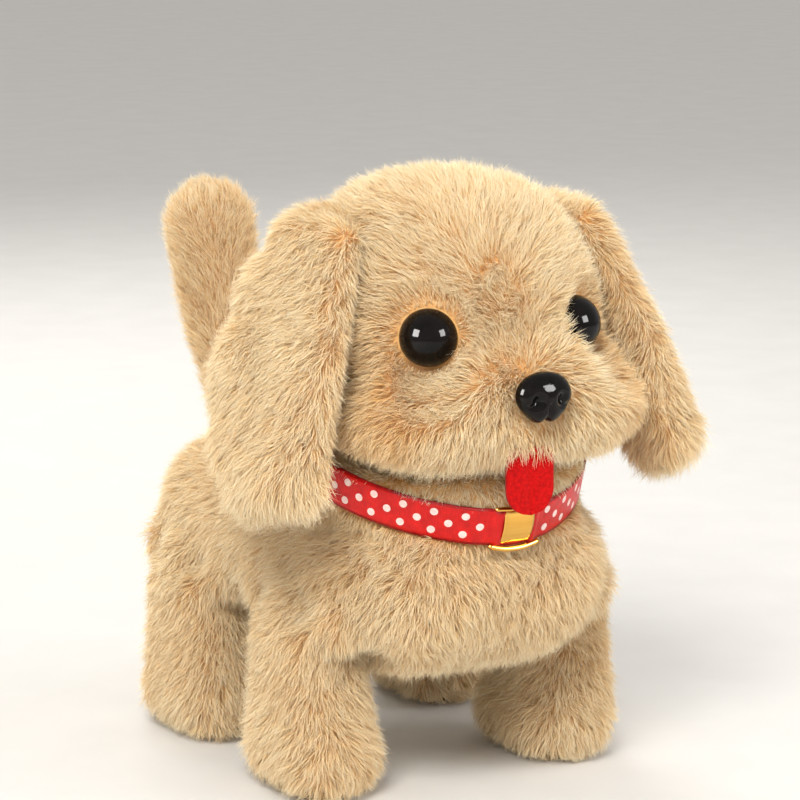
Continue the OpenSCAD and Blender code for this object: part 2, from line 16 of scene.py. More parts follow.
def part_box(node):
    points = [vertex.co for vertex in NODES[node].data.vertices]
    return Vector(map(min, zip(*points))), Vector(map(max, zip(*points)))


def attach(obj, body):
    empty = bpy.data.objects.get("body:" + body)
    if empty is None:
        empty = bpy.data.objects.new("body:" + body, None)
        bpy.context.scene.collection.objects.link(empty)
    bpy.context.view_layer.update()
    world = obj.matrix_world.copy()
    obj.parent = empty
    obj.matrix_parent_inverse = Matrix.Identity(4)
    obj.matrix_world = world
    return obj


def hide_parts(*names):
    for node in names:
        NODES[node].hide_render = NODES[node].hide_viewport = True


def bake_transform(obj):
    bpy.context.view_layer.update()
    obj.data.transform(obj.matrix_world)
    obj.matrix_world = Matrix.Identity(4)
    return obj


MM = 0.001
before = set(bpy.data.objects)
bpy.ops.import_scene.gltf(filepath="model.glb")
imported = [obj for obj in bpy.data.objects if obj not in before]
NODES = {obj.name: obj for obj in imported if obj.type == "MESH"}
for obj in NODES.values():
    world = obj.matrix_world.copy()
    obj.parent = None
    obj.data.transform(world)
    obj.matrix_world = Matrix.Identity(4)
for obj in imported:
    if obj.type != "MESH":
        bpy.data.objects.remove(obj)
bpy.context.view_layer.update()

# Camera
CAMERA_AT = (-410.7, -751.1, 256.4)
CAMERA_AIM = (5.6, -15.0, 91.9)
CAMERA_LENS = 147.5

# Head
HEAD = np.array([0.0, -46.0, 119.0])
EYE_HUB = np.array([0.0, -46.0, 120.0])
EYE_TURN = 35.1
EYE_SEAT = 35.6
EYE_R = 7.25
NOSE = np.array([0.0, -94.9, 106.5])

# Collar: its middle, its tilt before and behind that, the neck's outline, the ribbon and its dots,
# how far the buckle hides the dots, and the sides of the buckle's bars
COLLAR = np.array([0.0, -50.0, 83.2])
FRONT_TILT, BACK_TILT = math.radians(18), math.radians(4)
NECK_A, NECK_B, NECK_POWER = 36.0, 34.0, 1.7
RIBBON_W, RIBBON_T, RIBBON_GAP = 10.0, 0.7, 0.35
RIBBON_ROWS = 9
DOT_R, DOT_SIDES, DOT_STEP = 1.0, 16, 7.6
BUCKLE_REACH = 8.2
BAR_SIDES = 16

# Legs: the two rows along Y, and the middle of a leg from the centre line
LEG_ROWS = {"f": -41.0, "r": 20.0}
LEG_SIDES = {"l": 1, "r": -1}
LEG_X = 35.5

# The open patch in the belly's pile: half width, front, back and top
BELLY_HALF, BELLY_FRONT, BELLY_BACK, BELLY_TOP = 19, -43, 41.5, 42

# Pile: each layer's name, strands a square millimetre, length, strand radius, bend and shade; the down
# layer's darker shade is painted shade deep in the pile, under the guard hairs
LAYERS = (("down", 3.4, 0.62, 0.11, False, -0.08), ("guard", 6.2, 1.0, 0.085, True, 0.0))
TRIANGLES_A_PIECE = 190000
CLUMP_STRANDS = 12
PILE_INSET = 2.8

# Corners and first corners of a strand's faces: a flat blade with a bend, or a three-sided spike
BLADE = ((0, 1, 3, 2, 2, 3, 4), (0, 4))
SPIKE = ((0, 1, 3, 1, 2, 3, 2, 0, 3), (0, 3, 6))
STRAND_TRIANGLES = 3


# ---- small maths ----


def unit(v):
    """Rows of v at length one."""
    return v / np.maximum(np.linalg.norm(v, axis=-1, keepdims=True), 1e-12)


def ease(low, high, x):
    """Smoothly from 0 at low to 1 at high."""
    t = np.clip((x - low) / (high - low), 0, 1)
    return t * t * (3 - 2 * t)


def swirl(points, size, seed):
    """A smooth random vector at each point, changing over about size millimetres."""
    rng = np.random.default_rng(seed)
    out = np.zeros_like(points)
    for _ in range(7):
        wave = unit(rng.normal(size=3)) * 2 * math.pi / size
        out += np.sin(points @ wave + rng.random() * 2 * math.pi)[:, None] * rng.normal(size=3)
    return out / math.sqrt(7)


def flat_to(normals, vectors):
    """The part of each vector that lies along the surface, at length one."""
    return unit(vectors - normals * (vectors * normals).sum(axis=1, keepdims=True))


# ---- node materials ----


def srgb(red, green, blue):
    """A colour given in 0..255 display values, as linear RGBA."""
    parts = [c / 255 for c in (red, green, blue)]
    return (*(c / 12.92 if c <= 0.04045 else ((c + 0.055) / 1.055) ** 2.4 for c in parts), 1.0)


class Surface:
    """A Principled material and short ways to wire its nodes."""

    def __init__(self, name, **sockets):
        self.material = bpy.data.materials.new(name)
        self.material.use_nodes = True
        self.tree = self.material.node_tree
        self.shader = self.tree.nodes["Principled BSDF"]
        for socket, value in sockets.items():
            self.shader.inputs[socket.replace("_", " ")].default_value = value

    def node(self, kind, **settings):
        made = self.tree.nodes.new("ShaderNode" + kind)
        for key, value in settings.items():
            if key in made.inputs:
                made.inputs[key].default_value = value
            else:
                setattr(made, key, value)
        return made

    def link(self, out, into):
        self.tree.links.new(out, into)
        return out

    def place(self):
        return self.node("TexCoord").outputs["Object"]

    def uv(self):
        return self.node("UVMap", uv_map="OFBake").outputs["UV"]

    def noise(self, scale, detail=4.0, vector=None):
        made = self.node("TexNoise", Scale=scale, Detail=detail)
        self.link(vector or self.place(), made.inputs["Vector"])
        return made.outputs["Fac"]

    def ramp(self, value, *stops):
        made = self.node("ValToRGB")
        points = made.color_ramp.elements
        while len(points) < len(stops):
            points.new(0.5)
        for point, (at, colour) in zip(points, stops):
            point.position = at
            point.color = colour
        self.link(value, made.inputs["Fac"])
        return made.outputs["Color"]

    def math(self, operation, a, b=0.0):
        made = self.node("Math", operation=operation)
        for socket, value in zip(made.inputs, (a, b)):
            if isinstance(value, (int, float)):
                socket.default_value = value
            else:
                self.link(value, socket)
        return made.outputs["Value"]

    def mix(self, factor, a, b):
        made = self.node("Mix", data_type="RGBA")
        for socket, value in zip((made.inputs[0], made.inputs[6], made.inputs[7]), (factor, a, b)):
            if isinstance(value, (int, float, tuple)):
                socket.default_value = value
            else:
                self.link(value, socket)
        return made.outputs[2]

    def colour(self, out):
        self.link(out, self.shader.inputs["Base Color"])
        return self

    def bump(self, height, strength, distance):
        made = self.node("Bump", Strength=strength, Distance=distance)
        self.link(height, made.inputs["Height"])
        self.link(made.outputs["Normal"], self.shader.inputs["Normal"])
        return self


def mottled(name, dark, light, scale, roughness, bump=0.0, **sockets):
    """A material whose colour drifts between two shades, with a fine surface grain."""
    s = Surface(name, Roughness=roughness, **sockets)
    s.colour(s.ramp(s.noise(scale), (0.3, srgb(*dark)), (0.7, srgb(*light))))
    if bump:
        s.bump(s.noise(scale * 8, 3.0), bump, 0.0002)
    return s.material


def pile_material():
    """Plush pile: U runs from rust brown to cream, V from root to tip. U carries the pile's own tone together
    with painted shade and painted light; the darker, warmer roots are partly the pile's own tone and partly
    painted shade and bounce light deep in the pile.
    """
    s = Surface("plush_pile", Roughness=0.85, Sheen_Weight=0.12, Sheen_Roughness=0.6)
    s.shader.inputs["Specular IOR Level"].default_value = 0.15
    split = s.node("SeparateXYZ")
    s.link(s.uv(), split.inputs["Vector"])
    along = split.outputs["Y"]
    # Painted shade: both ramps turn darker and warmer towards the root, on top of the pile's own tone
    rust = s.ramp(along, (0.0, srgb(200, 132, 62)), (0.5, srgb(234, 186, 118)), (1.0, srgb(246, 222, 176)))
    cream = s.ramp(along, (0.0, srgb(234, 184, 116)), (0.45, srgb(246, 225, 180)), (1.0, srgb(250, 245, 224)))
    s.colour(s.mix(split.outputs["X"], rust, cream))
    return s.material


def backing_material():
    """The knitted backing under the pile. Its darker, warmer colour is partly its own tone and partly painted
    shade for the depth of the pile.
    """
    s = Surface("plush_backing", Roughness=0.95)
    tone = s.ramp(s.noise(260, 5.0), (0.3, srgb(218, 164, 98)), (0.7, srgb(232, 186, 124)))
    s.colour(tone)
    return s.material


def ribbon_material():
    """Red satin ribbon: fine ribs across it and a slightly darker woven edge."""
    s = Surface("ribbon_satin", Roughness=0.4, Sheen_Weight=0.05, IOR=1.35)
    split = s.node("SeparateXYZ")
    s.link(s.uv(), split.inputs["Vector"])
    edge = s.math("ABSOLUTE", s.math("SUBTRACT", split.outputs["Y"], 0.5))
    satin = s.ramp(s.noise(420, 3.0), (0.3, srgb(188, 6, 6)), (0.7, srgb(216, 16, 10)))
    selvedge = s.ramp(s.noise(900, 2.0), (0.3, srgb(140, 2, 6)), (0.7, srgb(176, 8, 8)))
    s.colour(s.mix(s.math("GREATER_THAN", edge, 0.44), satin, selvedge))
    ribs = s.math("SINE", s.math("MULTIPLY", split.outputs["X"], 2600.0))
    return s.bump(ribs, 0.25, 0.0001).material


def felt_material():
    s = Surface("tongue_felt", Roughness=0.95, Sheen_Weight=0.04, IOR=1.2)
    s.colour(s.ramp(s.noise(1400, 6.0), (0.3, srgb(164, 2, 4)), (0.7, srgb(206, 12, 10))))
    return s.bump(s.noise(2600, 4.0), 0.5, 0.0003).material


def gold_material():
    s = Surface("buckle_gold", Metallic=1.0, Roughness=0.2)
    brushed = s.node("Mapping", vector_type="POINT")
    brushed.inputs["Scale"].default_value = (40, 40, 1400)
    s.link(s.place(), brushed.inputs["Vector"])
    grain = s.noise(1.0, 3.0, brushed.outputs["Vector"])
    s.colour(s.ramp(grain, (0.2, srgb(214, 160, 74)), (0.8, srgb(228, 178, 92))))
    return s.bump(grain, 0.04, 0.0001).material


def gloss_black(name, grain, bump):
    s = Surface(name, Roughness=0.06, IOR=1.27)
    s.colour(s.ramp(s.noise(grain), (0.3, srgb(7, 6, 6)), (0.7, srgb(20, 16, 15))))
    return s.bump(s.noise(grain * 3, 2.0), bump, 0.0002).material


def board_material():
    """Green solder mask over copper tracks."""
    s = Surface("board", Roughness=0.35, Coat_Weight=0.4)
    tracks = s.node("TexBrick", Scale=160.0, offset=0.37)
    tracks.inputs["Mortar Size"].default_value = 0.09
    s.link(s.place(), tracks.inputs["Vector"])
    mask = s.ramp(s.noise(300), (0.3, srgb(16, 92, 48)), (0.7, srgb(26, 120, 62)))
    s.colour(s.mix(tracks.outputs["Fac"], mask, srgb(52, 150, 84)))
    return s.material


def cell_material():
    """A plain jacket with a darker band at one end."""
    s = Surface("cell_jacket", Roughness=0.35, Metallic=0.3)
    split = s.node("SeparateXYZ")
    s.link(s.place(), split.inputs["Vector"])
    band = s.math("GREATER_THAN", split.outputs["Y"], 0.004)
    body = s.ramp(s.noise(200), (0.3, srgb(38, 50, 70)), (0.7, srgb(52, 66, 92)))
    s.colour(s.mix(band, body, srgb(190, 120, 60)))
    return s.material


PARTS_BY_FINISH = {
    "case": ("chassis_left chassis_right gear_plate neck_bracket battery_door head_shell nod_lever "
             "tail_assembly_core leg_frame_fl leg_frame_fr leg_frame_rl leg_frame_rr"),
    "acetal": ("first_gear second_gear centre_gear idler_gear_front idler_gear_rear "
               "front_crank_gear rear_crank_gear washers"),
    "dark": "front_cranks rear_cranks nod_cam wag_cam switch_body switch_knob voice_chip",
    "steel": ("chassis_screws gear_pins hip_clips neck_pin motor_can motor_shaft front_shaft "
              "rear_shaft door_screw"),
    "brass": "motor_pinion",
    "spring": "spring_contacts plate_contacts",
    "board": "circuit_board",
    "speaker": "speaker",
    "cell": "batteries",
    "sole": "sole_fl sole_fr sole_rl sole_rr",
}


def finishes():
    """One material for each finish of the parts that keep their CAD shape."""
    return {
        "case": mottled("case_plastic", (222, 216, 200), (236, 231, 218), 90, 0.48, 0.12),
        "acetal": mottled("acetal", (226, 226, 218), (242, 242, 236), 240, 0.38),
        "dark": mottled("dark_plastic", (22, 22, 24), (40, 40, 43), 150, 0.45, 0.1),
        "steel": mottled("zinc_steel", (150, 152, 156), (196, 198, 202), 320, 0.28, Metallic=1.0),
        "brass": mottled("brass", (186, 142, 66), (220, 178, 96), 320, 0.26, Metallic=1.0),
        "spring": mottled("nickel_strip", (176, 176, 172), (214, 214, 210), 260, 0.2, Metallic=1.0),
        "board": board_material(),
        "speaker": mottled("speaker_black", (28, 28, 30), (56, 56, 60), 500, 0.55, 0.2),
        "cell": cell_material(),
        "sole": mottled("sole_rubber", (120, 86, 56), (150, 110, 74), 420, 0.8, 0.4),
    }


def dress_cad_nodes():
    """Puts the finishes on the CAD nodes' objects."""
    made = finishes()
    for finish, names in PARTS_BY_FINISH.items():
        for name in names.split():
            node = NODES[name]
            if not node.material_slots:
                node.data.materials.append(None)
            for place in node.material_slots:
                place.link = "OBJECT"
                place.material = made[finish]


# ---- meshes ----


def mesh_object(name, points, faces, material, uv=None):
    """A smooth-shaded object from points in millimetres and faces of point numbers."""
    mesh = bpy.data.meshes.new(name)
    mesh.from_pydata([tuple(p) for p in np.asarray(points) * MM], [], [tuple(f) for f in faces])
    if uv is not None:
        layer = mesh.uv_layers.new(name="OFBake")
        corner = np.zeros(len(mesh.loops), np.int32)
        mesh.loops.foreach_get("vertex_index", corner)
        layer.data.foreach_set("uv", np.asarray(uv, np.float32)[corner].ravel())
    mesh.polygons.foreach_set("use_smooth", np.ones(len(mesh.polygons), bool))
    mesh.materials.append(material)
    mesh.validate()
    made = bpy.data.objects.new(name, mesh)
    bpy.context.scene.collection.objects.link(made)
    return made


def shown_mesh(made):
    """Points in millimetres and triangles of an object with its modifiers."""
    shown = made.evaluated_get(bpy.context.evaluated_depsgraph_get())
    mesh = shown.to_mesh()
    mesh.calc_loop_triangles()
    points = np.zeros(len(mesh.vertices) * 3, np.float32)
    triangles = np.zeros(len(mesh.loop_triangles) * 3, np.int32)
    mesh.vertices.foreach_get("co", points)
    mesh.loop_triangles.foreach_get("vertices", triangles)
    shown.to_mesh_clear()
    return points.reshape(-1, 3).astype(float) / MM, triangles.reshape(-1, 3)


def ring_faces(rings, around, closed=True):
    """Faces that join rows of points into a tube or a grid."""
    last = around if closed else around - 1
    faces = []
    for r in range(rings - 1):
        low, high = r * around, (r + 1) * around
        for i in range(last):
            j = (i + 1) % around
            faces.append((low + i, low + j, high + j, high + i))
    return faces


def rim_pairs(rows, columns):
    """Neighbouring point numbers round the edge of a grid."""
    rim = list(range(columns)) + [r * columns + columns - 1 for r in range(1, rows)]
    rim += [(rows - 1) * columns + c for c in range(columns - 2, -1, -1)]
    rim += [r * columns for r in range(rows - 2, 0, -1)]
    return list(zip(rim, rim[1:] + rim[:1]))


def lathe(profile, around=64):
    """Points and faces of a profile of (radius, height) turned about +Z, with closed ends."""
    angles = np.arange(around) * 2 * math.pi / around
    points = [(r * math.cos(a), r * math.sin(a), h) for r, h in profile for a in angles]
    faces = ring_faces(len(profile), around)
    faces.append(tuple(reversed(range(around))))
    faces.append(tuple(range((len(profile) - 1) * around, len(profile) * around)))
    return np.array(points), faces


# ---- plush skins ----


class Skin:
    """A closed surface under the pile: points, triangles and a normal at each point."""

    def __init__(self, points, triangles):
        self.points = points
        self.triangles = triangles
        self.refresh()

    def refresh(self):
        corner = self.points[self.triangles]
        across = np.cross(corner[:, 1] - corner[:, 0], corner[:, 2] - corner[:, 0])
        self.area = np.linalg.norm(across, axis=1) / 2
        self.normals = np.zeros_like(self.points)
        for k in range(3):
            np.add.at(self.normals, self.triangles[:, k], across)
        self.normals = unit(self.normals)

    def middles(self):
        return self.points[self.triangles].mean(axis=1)

    def push(self, amount):
        """Moves each point along its normal by amount."""
        self.points = self.points + self.normals * np.reshape(amount, (-1, 1))
        self.refresh()

    def part(self, keep):
        """The same surface with only some of its triangles."""
        used, triangles = np.unique(self.triangles[keep], return_inverse=True)
        piece = Skin(self.points[used], triangles.reshape(-1, 3))
        piece.normals = self.normals[used]
        return piece

    def outermost(self):
        """Only the largest connected part."""
        label = np.arange(len(self.points))
        while True:
            lowest = label.copy()
            np.minimum.at(lowest, self.triangles.ravel(), np.repeat(label[self.triangles].min(axis=1), 3))
            lowest = lowest[lowest]
            if (lowest == label).all():
                break
            label = lowest
        groups = label[self.triangles[:, 0]]
        return self.part(groups == np.bincount(groups).argmax())


def wrapped(nodes, fillers, voxel=1.7, rounds=10):
    """One smooth skin around CAD nodes and filler balls of (centre, radii)."""
    mould = bmesh.new()
    for name in nodes:
        mould.from_mesh(NODES[name].data)
    for centre, radii in fillers:
        size = Matrix.Diagonal((*(r * MM for r in radii), 1.0))
        place = Matrix.Translation([c * MM for c in centre])
        bmesh.ops.create_icosphere(mould, subdivisions=3, radius=1.0, matrix=place @ size)
    mesh = bpy.data.meshes.new("mould")
    mould.to_mesh(mesh)
    mould.free()
    made = bpy.data.objects.new("mould", mesh)
    bpy.context.scene.collection.objects.link(made)
    remesh = made.modifiers.new("remesh", "REMESH")
    remesh.mode = "VOXEL"
    remesh.voxel_size = voxel * MM
    smooth = made.modifiers.new("smooth", "SMOOTH")
    smooth.factor = 0.5
    smooth.iterations = rounds
    skin = Skin(*shown_mesh(made)).outermost()
    bpy.data.objects.remove(made)
    return skin


# ---- pile ----


def roots_on(skin, density, rng):
    """Strand roots spread over a skin at density a square millimetre, with their normals."""
    count = int(skin.area.sum() * density)
    pick = rng.choice(len(skin.area), count, p=skin.area / skin.area.sum())
    u, v = rng.random((2, count, 1))
    u, v = np.where(u + v > 1, 1 - u, u), np.where(u + v > 1, 1 - v, v)
    a, b, c = skin.triangles[pick].T
    points, normals = (t[a] * (1 - u - v) + t[b] * u + t[c] * v for t in (skin.points, skin.normals))
    return points, unit(normals)


def gathered(roots, mids, tips, clump, rng):
    """Draws each strand towards the nearest clump's leading strand."""
    leaders = rng.choice(len(roots), max(1, len(roots) // CLUMP_STRANDS), replace=False)
    tree = KDTree(len(leaders))
    for i in leaders:
        tree.insert(roots[i], int(i))
    tree.balance()
    lead = np.array([tree.find(p)[1] for p in roots])
    offset = roots - roots[lead]
    pull = np.reshape(clump, (-1, 1))
    tips = tips + (tips[lead] + offset * 0.25 - tips) * pull
    mids = mids + (mids[lead] + offset * 0.75 - mids) * pull * 0.6
    return mids, tips, lead


def strand_mesh(name, roots, mids, tips, radius, tone, bent, rng):
    """Thin tapering strands as one mesh, with root-to-tip UVs."""
    pattern, starts = BLADE if bent else SPIKE
    count = len(roots)
    along = unit(mids - roots)
    side = unit(np.cross(along, unit(rng.normal(size=(count, 3)))))
    thick = np.reshape(radius, (-1, 1))
    if bent:
        rings = [roots + side * thick, roots - side * thick]
        rings += [mids + side * thick * 0.85, mids - side * thick * 0.85]
        across, height = [0.02, -0.02, 0.02, -0.02], [0.0, 0.01, 0.5, 0.51]
    else:
        other = np.cross(along, side)
        rings = [roots + (side * math.cos(t) + other * math.sin(t)) * thick for t in (0, 2.094, 4.189)]
        across, height = [-0.02, 0.0, 0.02], [0.01, 0.0, 0.01]
    points = np.stack([*rings, tips], axis=1)
    size = points.shape[1]
    corners = (np.array(pattern)[None] + size * np.arange(count)[:, None]).ravel()
    u = tone[:, None] + np.array(across + [0.0])[None]
    v = np.broadcast_to(np.array(height + [1.0]), u.shape)
    uv = np.stack([np.clip(u, 0, 1), v], axis=2)[:, np.array(pattern)]
    mesh = bpy.data.meshes.new(name)
    mesh.vertices.add(count * size)
    mesh.vertices.foreach_set("co", (points * MM).astype(np.float32).ravel())
    mesh.loops.add(len(corners))
    mesh.loops.foreach_set("vertex_index", corners.astype(np.int32))
    mesh.polygons.add(count * len(starts))
    begin = (np.array(starts)[None] + len(pattern) * np.arange(count)[:, None]).ravel()
    mesh.polygons.foreach_set("loop_start", begin.astype(np.int32))
    mesh.polygons.foreach_set("use_smooth", np.ones(count * len(starts), bool))
    mesh.update(calc_edges=True)
    mesh.uv_layers.new(name="OFBake").data.foreach_set("uv", uv.astype(np.float32).ravel())
    mesh.materials.append(PILE)
    made = bpy.data.objects.new(name, mesh)
    bpy.context.scene.collection.objects.link(made)
    return made


def pile(name, skin, comb, rides, seed, density=1.0, length=6.4, lift=0.5, tone=0.62,
         clump=0.4, shorter=None, painted_shading=None, skip=None):
    """Grows the pile of one skin in two layers. comb(points, normals) gives the brushed direction;
    shorter changes the length at each root; the colour callback after it paints shade into each root's colour
    as a shift towards rust, and painted light as a shift towards cream; skip marks the roots to leave out;
    rides(piece) attaches the piece to a body, or bakes its placement and leaves it unattached."""
    for k, (layer, thick_set, reach, radius, bent, shade) in enumerate(LAYERS):
        rng = np.random.default_rng(seed + 500 * k)
        roots, normals = roots_on(skin, density * thick_set, rng)
        if skip is not None:
            keep = ~skip(roots, normals)
            roots, normals = roots[keep], normals[keep]
        drift = swirl(roots, 26, seed) * 0.3 + swirl(roots, 9, seed + 1) * 0.22
        drift = drift + swirl(roots, 4.5, seed + 3) * 0.2
        brushed = flat_to(normals, comb(roots, normals) + drift)
        reach = length * reach * rng.uniform(0.75, 1.12, len(roots))
        if shorter is not None:
            reach = reach * (1 - shorter(roots, normals))
        reach = reach[:, None]
        stray = rng.normal(size=roots.shape) * 0.2
        mids = roots + reach * 0.5 * unit(normals * (lift + 0.3) + brushed * (1 - lift) + stray)
        tips = mids + reach * 0.5 * unit(normals * lift * 0.8 + brushed * (1.1 - lift * 0.6) + stray * 1.6)
        mids, tips, lead = gathered(roots, mids, tips, clump * rng.uniform(0.4, 1.3, len(roots)), rng)
        warmth = rng.normal(0, 0.07, len(roots)) + rng.normal(0, 0.05, len(roots))[lead] + shade
        warmth += swirl(roots, 30, seed + 2)[:, 0] * 0.04 + swirl(roots, 5, seed + 4)[:, 0] * 0.04 + tone
        # The colour callback paints shade (towards rust) and light (towards cream) into each root's tone
        if painted_shading is not None:
            warmth -= painted_shading(roots, normals)
        tips[:, 2] = np.maximum(tips[:, 2], 0.4)
        mids[:, 2] = np.maximum(mids[:, 2], 0.6)
        radii = radius * rng.uniform(0.75, 1.25, len(roots))
        order = np.argsort(roots[:, 1], kind="stable")
        heap = STRAND_TRIANGLES * len(order) / TRIANGLES_A_PIECE
        for j, part in enumerate(np.array_split(order, math.ceil(heap))):
            made = strand_mesh(f"{name}_{layer}_{j + 1}", roots[part], mids[part], tips[part], radii[part],
                               np.clip(warmth[part], 0.03, 0.97), bent, rng)
            rides(made)


def backing(name, skin, rides, replaces):
    """The skin itself as a stuffed piece that stands for its CAD solid."""
    made = mesh_object(f"{name}_plush_body", skin.points, skin.triangles, BACKING)
    rides(made)
    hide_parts(*replaces)
    return made


def rides_on(body):
    """Attaches a piece to one body."""
    return lambda piece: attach(piece, body)


def bends():
    """Bakes a piece's placement into its mesh and leaves it attached to no body."""
    return lambda piece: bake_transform(piece)


# ---- collar frame ----


def collar_tilt(y):
    """Cosine and sine of the collar's tilt, which is steeper in front of its middle."""
    tilt = BACK_TILT + (FRONT_TILT - BACK_TILT) * ease(5, -5, y)
    return np.cos(tilt), np.sin(tilt)


def collar_frame(points):
    """Points in the collar's own axes, where Z is across the ribbon."""
    x, y, z = (points - COLLAR).T
    c, s = collar_tilt(y)
    return np.stack([x, y * c + z * s, z * c - y * s], axis=1)


def from_collar(points):
    """Points in the collar's axes, back in the frame's."""
    x, y, z = points.T
    c, s = collar_tilt(y)
    return np.stack([x, y * c - z * s, y * s + z * c], axis=1) + COLLAR


def neck_ring(angle, out):
    """A point of the neck's outline in the collar's axes, out millimetres outside it."""
    c, s = np.cos(angle), np.sin(angle)
    x = (NECK_A + out) * np.sign(c) * np.abs(c) ** (2 / NECK_POWER)
    y = (NECK_B + out) * np.sign(s) * np.abs(s) ** (2 / NECK_POWER)
    return np.stack([x, y], axis=-1)


# ---- trunk and legs ----


def leg_rows():
    """(name, side, y) of each leg."""
    return [(row + side, sx, y) for row, y in LEG_ROWS.items() for side, sx in LEG_SIDES.items()]


def body_skin():
    """Trunk and legs in one skin, without the gaps between them."""
    fillers = [
        ((0, -40, 58), (36, 32, 19)),
        ((0, 0, 58), (36, 45, 19)),
        ((0, 25, 58), (33, 22, 18)),
        ((0, -50, 76), (28, 26, 10)),
        ((0, -62, 83.5), (30, 23, 7)),
    ]
    for _, sx, y in leg_rows():
        fillers.append(((sx * LEG_X, y, 44), (11, 12, 16)))
        fillers.append(((sx * LEG_X, y, 24), (11, 12, 20)))
        fillers.append(((sx * (LEG_X - 1), y + 0.5, 9.2), (11.6, 17.8, 8.8)))
        fillers += [((sx * 36, y + end * 19.5, 48), (7.5, 5.5, 8.5)) for end in (1, -1)]
    nodes = ["trunk_plush"] + ["leg_plush_" + name for name, _, _ in leg_rows()]
    skin = wrapped(nodes, fillers)
    across = np.abs(collar_frame(skin.points)[:, 2])
    inset = PILE_INSET * (0.2 + 0.8 * ease(4, 10, across))
    inset = np.where(skin.points[:, 2] > 66, inset, PILE_INSET)
    inset *= 0.25 + 0.75 * ease(8, 40, skin.points[:, 2])
    skin.push(-inset)
    return skin


def in_leg(points, sx, y):
    """Marks the points that belong to one leg."""
    beside = np.abs(points[:, 1] - y) < 21.5
    return beside & (points[:, 0] * sx > 19.5) & (points[:, 2] < 53)


def in_belly(points, normals):
    """Marks the open patch under the battery door and the switch."""
    inside = (np.abs(points[:, 0]) < BELLY_HALF) & (points[:, 1] > BELLY_FRONT) & (points[:, 1] < BELLY_BACK)
    return inside & (points[:, 2] < BELLY_TOP) & (normals[:, 2] < -0.2)


def from_neck(points):
    """Distance outside the neck's outline, in the collar's axes, and height above its middle."""
    local = collar_frame(points)
    across, ahead = np.abs(local[:, 0] / NECK_A), np.abs(local[:, 1] / NECK_B)
    reach = (across ** NECK_POWER + ahead ** NECK_POWER) ** (1 / NECK_POWER)
    return (reach - 1) * NECK_B, local[:, 2]


def under_ribbon(points, normals):
    """Marks the band that the ribbon covers."""
    out, height = from_neck(points)
    return (np.abs(height) < 5.2) & (out < 1.2) & (normals[:, 2] < 0.6)


def body_comb(points, normals):
    """Brushed down the flanks and chest, back along the spine."""
    spread = np.stack([points[:, 0] * 0.006, np.full(len(points), 0.35), np.full(len(points), -1.0)], axis=1)
    spread[:, 1] -= 0.5 * ease(-55, -80, points[:, 1])
    return spread


def leg_comb(points, normals):
    """Straight down, and outward over the paw's edge."""
    down = np.zeros_like(points)
    down[:, 2] = -1
    flare = normals * [1, 1, 0] * (0.8 * ease(9, 3, points[:, 2]))[:, None]
    return down + flare


def add_body():
    """Trunk and leg pile on one continuous skin, cut into a trunk piece on the trunk's body and four leg
    pieces attached to no body.
    """
    skin = body_skin()
    middles, facing = skin.middles(), skin.normals[skin.triangles].mean(axis=1)
    open_patch = in_belly(middles, facing)
    leg_of = {name: in_leg(middles, sx, y) for name, sx, y in leg_rows()}
    trunk = skin.part(~open_patch & ~np.any(list(leg_of.values()), axis=0))
    rides = rides_on("trunk")
    backing("trunk", trunk, rides, ["trunk_plush"])

    def trimmed(points, normals):
        """Short on the throat, above the ribbon, and beside the ribbon's lower edge."""
        out, height = from_neck(points)
        throat = ease(3, 6, height) * ease(8, 2, out) * 0.4
        below = ease(-12, -5, height) * ease(6, 1, out)
        return np.clip(0.62 * throat + 0.3 * below, 0, 0.7)

    # Painted light: lighter, creamier pile on the throat above the ribbon, lifting the shade under the head
    def throat_painted_light(points, normals):
        out, height = from_neck(points)
        return -0.35 * ease(3, 6, height) * ease(8, 2, out)

    pile("trunk", trunk, body_comb, rides, 11, length=6.8, shorter=trimmed, painted_shading=throat_painted_light, skip=under_ribbon)
    for k, (name, sx, y) in enumerate(leg_rows()):
        leg = skin.part(leg_of[name])
        rides = bends()
        backing("leg_" + name, leg, rides, ["leg_plush_" + name])
        pile("leg_" + name, leg, leg_comb, rides, 30 + k, length=6.6, lift=0.55,
             skip=lambda p, n: (n[:, 2] < -0.93) & (p[:, 2] < 8))


# ---- head ----


def eye_direction(side):
    turn = math.radians(EYE_TURN)
    return np.array([side * math.sin(turn), -math.cos(turn), 0.0])


def eye_places():
    """The middle of each eye, by side."""
    return {side: EYE_HUB + EYE_SEAT * eye_direction(side) for side in (1, -1)}


def eye_gap(points):
    """Distance from each point to the nearer eye's middle."""
    return np.min([np.linalg.norm(points - c, axis=1) for c in eye_places().values()], axis=0)


def head_skin():
    fillers = [(HEAD, (34, 34, 34)), ((0, -74, 104), (24, 16, 15)), ((0, -84, 104.5), (9, 8, 8))]
    for side in (1, -1):
        fillers.append((EYE_HUB + 27 * eye_direction(side), (14, 14, 14)))
        fillers.append(((side * 19, -66, 101), (17, 15, 13)))
        fillers.append(((side * 25, -60, 99), (15, 18, 11)))
        fillers.append(((side * 22.5, -74, 99.5), (16.5, 15, 10.5)))
    skin = wrapped(["head_plush"], fillers)
    # Less inset at the muzzle, a flat underside and a flattened crown
    front = ease(-52, -80, skin.points[:, 1]) * ease(128, 104, skin.points[:, 2])
    skin.push(-PILE_INSET * (1 - 0.5 * front))
    low = 91 + 3 * ease(-60, -30, skin.points[:, 1])
    under = np.clip((low - skin.points[:, 2]) / 2 + 0.5, 0, 1)
    skin.points[:, 2] = np.maximum(skin.points[:, 2], low) + under ** 2 * 0.5
    crown = np.maximum(skin.points[:, 2] - 147, 0)
    skin.points[:, 2] -= 0.026 * crown ** 2
    for side in (1, -1):
        press_socket(skin, side)
    skin.refresh()
    return skin


